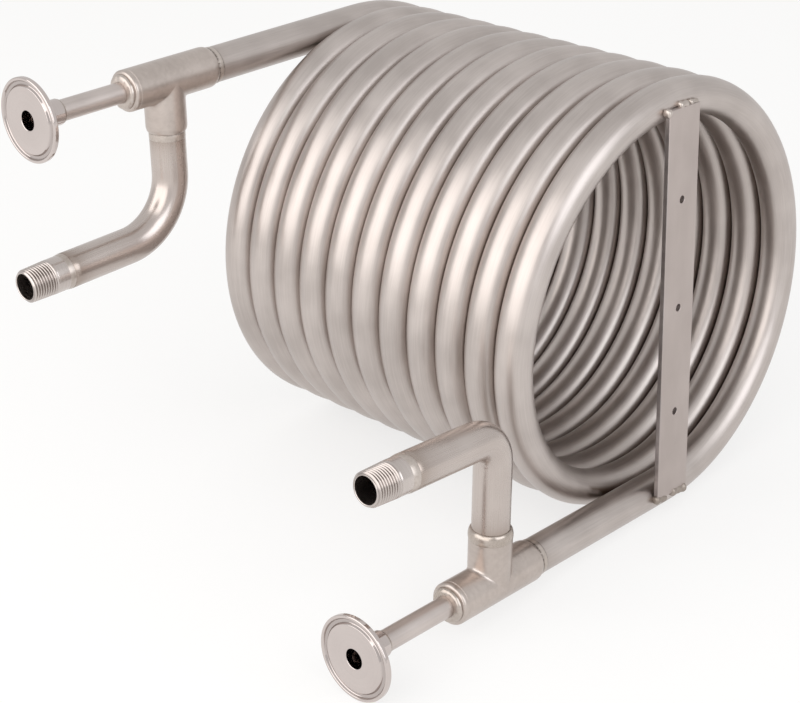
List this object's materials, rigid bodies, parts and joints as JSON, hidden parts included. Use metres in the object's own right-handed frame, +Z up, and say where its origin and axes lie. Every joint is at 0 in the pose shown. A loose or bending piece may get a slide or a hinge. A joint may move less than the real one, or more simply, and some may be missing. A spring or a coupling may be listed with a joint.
{
  "type": "counterflow chiller coil",
  "caption": "Tube-in-tube counterflow chiller: a close-wound steel coil with a clamp ferrule and a threaded water connection at each end, and a flat bar with holes across one end.",
  "frame": {"origin": "bottom centre of the whole part's box, on the floor that the coil and the lower ferrule stand on", "axes": "+Z up; the coil's axis along X with the mounting bar at +X; both ends reach towards -Y"},
  "size_m": [0.3112, 0.4144, 0.29],
  "materials": {
    "tube": "bright-annealed drawn stainless tube, satin",
    "fitting": "pickled stainless fitting, satin",
    "polished_ferrule": "polished stainless",
    "threaded_nipple": "machined stainless",
    "flat_bar": "cold-rolled stainless bar, matt",
    "weld_bead": "brushed weld metal"
  },
  "bodies": {
    "root": {"outer_coil_turn_1": "tube", "outer_coil_turn_2": "tube", "outer_coil_turn_3": "tube", "outer_coil_turn_4": "tube", "outer_coil_turn_5": "tube", "outer_coil_turn_6": "tube", "outer_coil_turn_7": "tube", "outer_coil_turn_8": "tube", "outer_coil_turn_9": "tube", "outer_coil_turn_10": "tube", "outer_coil_turn_11": "tube", "outer_coil_last_half": "tube", "upper_leg": "tube", "lower_leg": "tube", "inner_coil": "tube", "upper_inner_end": "tube", "lower_inner_end": "tube", "upper_tee": "fitting", "lower_tee": "fitting", "upper_cap": "fitting", "lower_cap": "fitting", "upper_ferrule": "polished_ferrule", "lower_ferrule": "polished_ferrule", "upper_water_bend": "tube", "lower_water_bend": "tube", "upper_water_tube": "tube", "lower_water_tube": "tube", "upper_nipple": "threaded_nipple", "lower_nipple": "threaded_nipple", "mounting_bracket": "flat_bar", "upper_leg_weld": "weld_bead", "lower_leg_weld": "weld_bead", "upper_branch_weld": "weld_bead", "lower_branch_weld": "weld_bead", "upper_nipple_weld": "weld_bead", "lower_nipple_weld": "weld_bead", "upper_cap_weld": "weld_bead", "lower_cap_weld": "weld_bead", "upper_ferrule_weld": "weld_bead", "lower_ferrule_weld": "weld_bead"}
  },
  "joints": []
}
